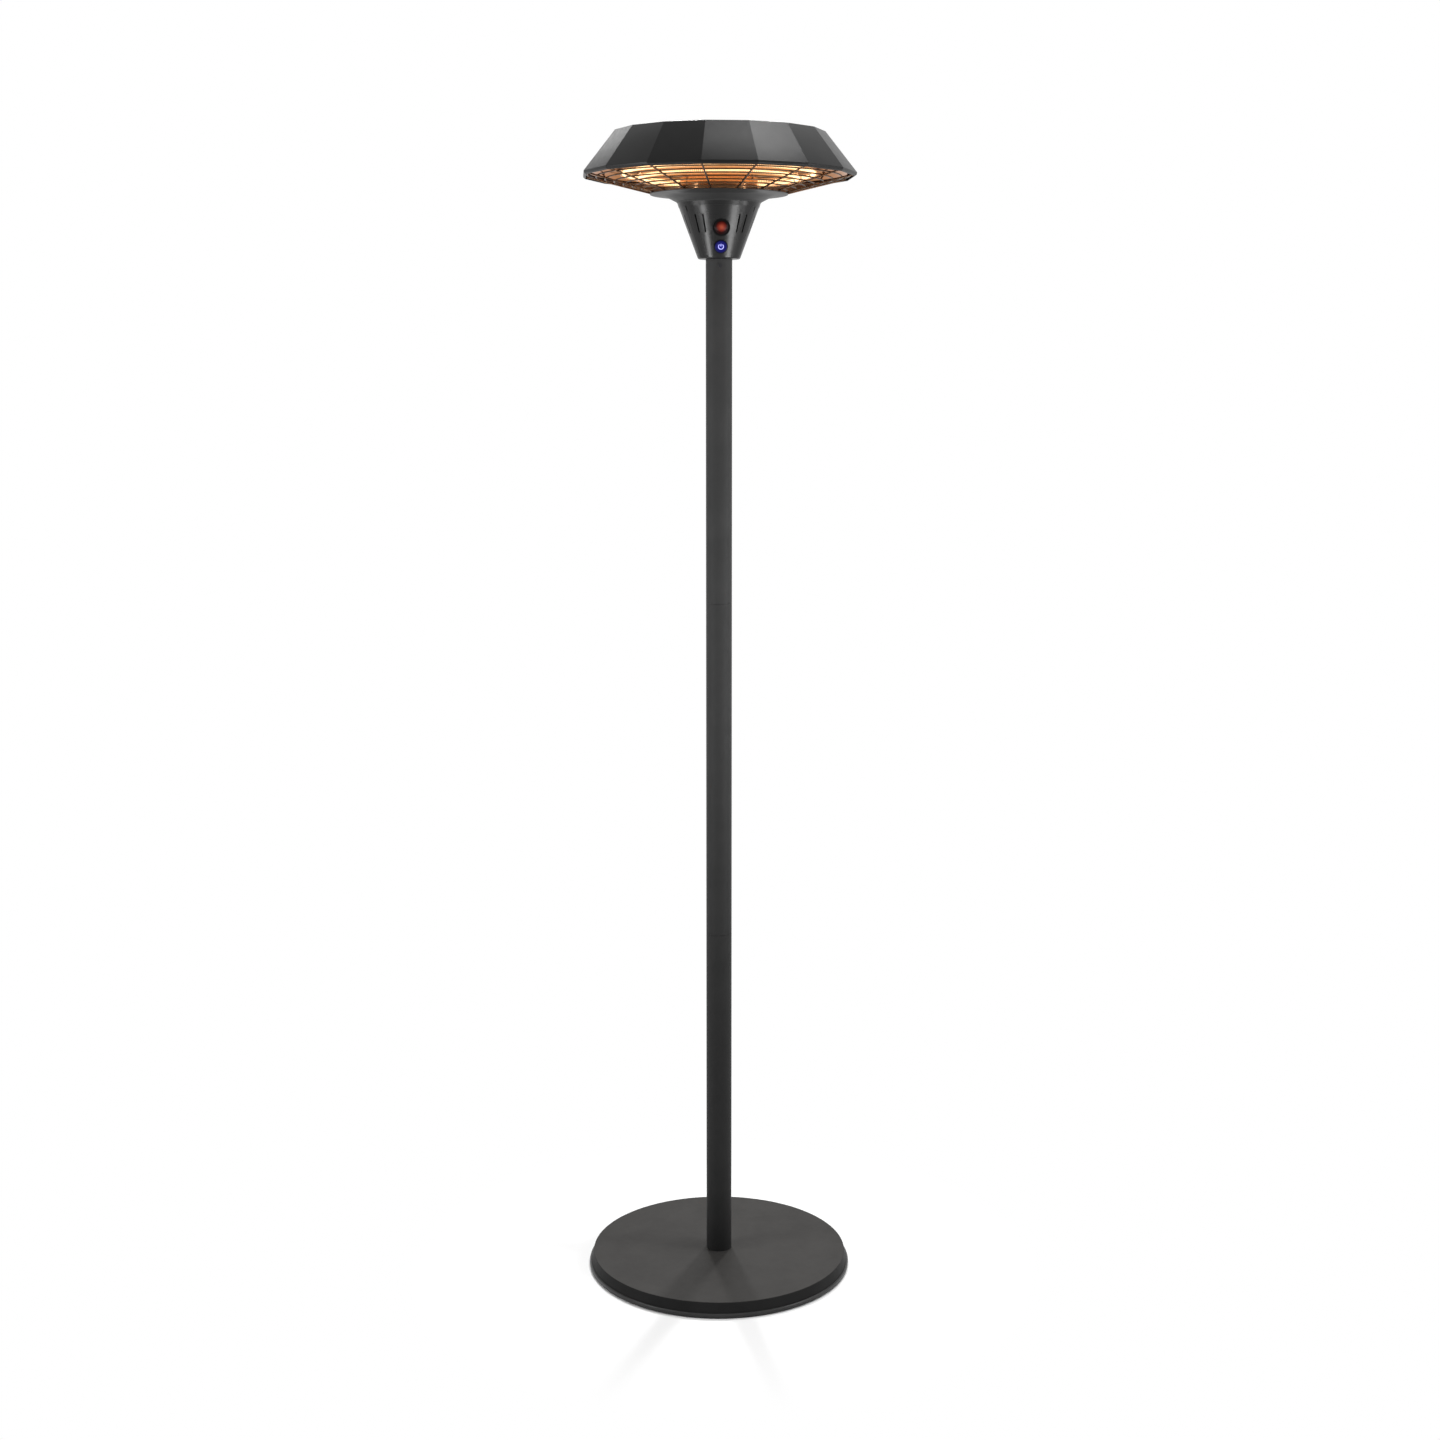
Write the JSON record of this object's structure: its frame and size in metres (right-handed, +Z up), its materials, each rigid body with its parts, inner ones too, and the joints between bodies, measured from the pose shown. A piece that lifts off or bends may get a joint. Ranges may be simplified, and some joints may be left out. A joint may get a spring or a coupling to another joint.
{
  "type": "infrared patio heater",
  "caption": "Free-standing electric infrared heater: faceted shade over ring lamps behind a wire guard, on a slim pole with a round weighted base.",
  "frame": {"origin": "on the floor at the middle of the base, under the pole's axis", "axes": "+Z up along the pole, the front with the push button and the sensor window faces -Y, +X to the right of someone facing the front"},
  "size_m": [0.4999, 0.5036, 2.13],
  "materials": {
    "black_rubber": "matt",
    "zinc_steel": "satin",
    "ballast_concrete": "rough cast",
    "charcoal_coat": "satin powder coat",
    "trim_plastic": "satin",
    "black_plastic": "satin",
    "housing_plastic": "satin sheen",
    "cast_aluminium": "machined",
    "cable_rubber": "matt",
    "button_blue": "lit, glossy",
    "silicone": "matt",
    "switch_plastic": "satin",
    "led_lens": "clear",
    "board_green": "solder mask",
    "relay_plastic": "satin",
    "sensor_window": "polished dark red",
    "ceramic": "glazed",
    "polished_steel": "polished",
    "gold_mirror": "mirror, gold toned",
    "shade_coat": "satin powder coat",
    "guard_wire": "baked black",
    "gold_quartz": "gold coated, lit",
    "filament": "glowing",
    "lead_sleeve": "woven glass sleeve",
    "brass": "turned"
  },
  "bodies": {
    "heater": {"base_feet": "black_rubber", "base_plate": "zinc_steel", "base_ballast": "ballast_concrete", "base_cover": "charcoal_coat", "base_rim_trim": "trim_plastic", "base_screws": "zinc_steel", "cable_gland": "black_plastic", "pole_foot_plug": "cast_aluminium", "pole_bolt": "zinc_steel", "pole_bolt_washer": "zinc_steel", "supply_cable": "cable_rubber", "head_spigot": "zinc_steel", "pole_set_screw": "zinc_steel", "housing_front_cover": "housing_plastic", "housing_rear_shell": "housing_plastic", "housing_cap": "housing_plastic", "housing_screws": "zinc_steel", "floor_screws": "zinc_steel", "button_barrel": "black_plastic", "button_return_dome": "silicone", "switch_body": "switch_plastic", "power_led": "led_lens", "control_board": "board_green", "board_screws": "zinc_steel", "board_relays": "relay_plastic", "transformer": "switch_plastic", "sensor_bezel": "black_plastic", "sensor_lens": "sensor_window", "sensor_can": "zinc_steel", "chassis_plate": "zinc_steel", "terminal_block": "ceramic", "thermal_cutout": "ceramic", "tilt_bracket": "zinc_steel", "tilt_pin": "zinc_steel", "collar": "charcoal_coat", "centre_column": "polished_steel", "reflector": "gold_mirror", "shade": "shade_coat", "shade_standoffs": "cast_aluminium", "shade_screws": "zinc_steel", "guard_rings": "guard_wire", "guard_spokes": "guard_wire", "lamp_end_caps": "ceramic", "lamp_strips": "zinc_steel", "lamp_clips": "zinc_steel", "lamp_leads": "lead_sleeve", "pole_lower": "charcoal_coat", "pole_middle": "charcoal_coat", "pole_upper": "charcoal_coat", "pole_coupler_lower": "zinc_steel", "pole_coupler_middle": "zinc_steel", "lamp_outer": "gold_quartz", "lamp_inner": "gold_quartz", "filament_outer": "filament", "filament_inner": "filament"},
    "button": {"power_button": "button_blue", "switch_plunger": "switch_plastic"},
    "pendulum": {"tilt_pendulum": "brass"}
  },
  "joints": [
    {"name": "button_press", "type": "slide", "parent": "heater", "child": "button", "axis": [0, 0.9361, 0.3518], "range_m": [0, 0.002], "stiffness_N_per_m": 200, "springref_m": -0.002, "deforming": ["button_return_dome"]},
    {"name": "tilt_swing", "type": "hinge", "parent": "heater", "child": "pendulum", "pos_m": [0, 0.037, 1.982], "axis": [1, 0, 0], "range_deg": [-15, 15]}
  ]
}
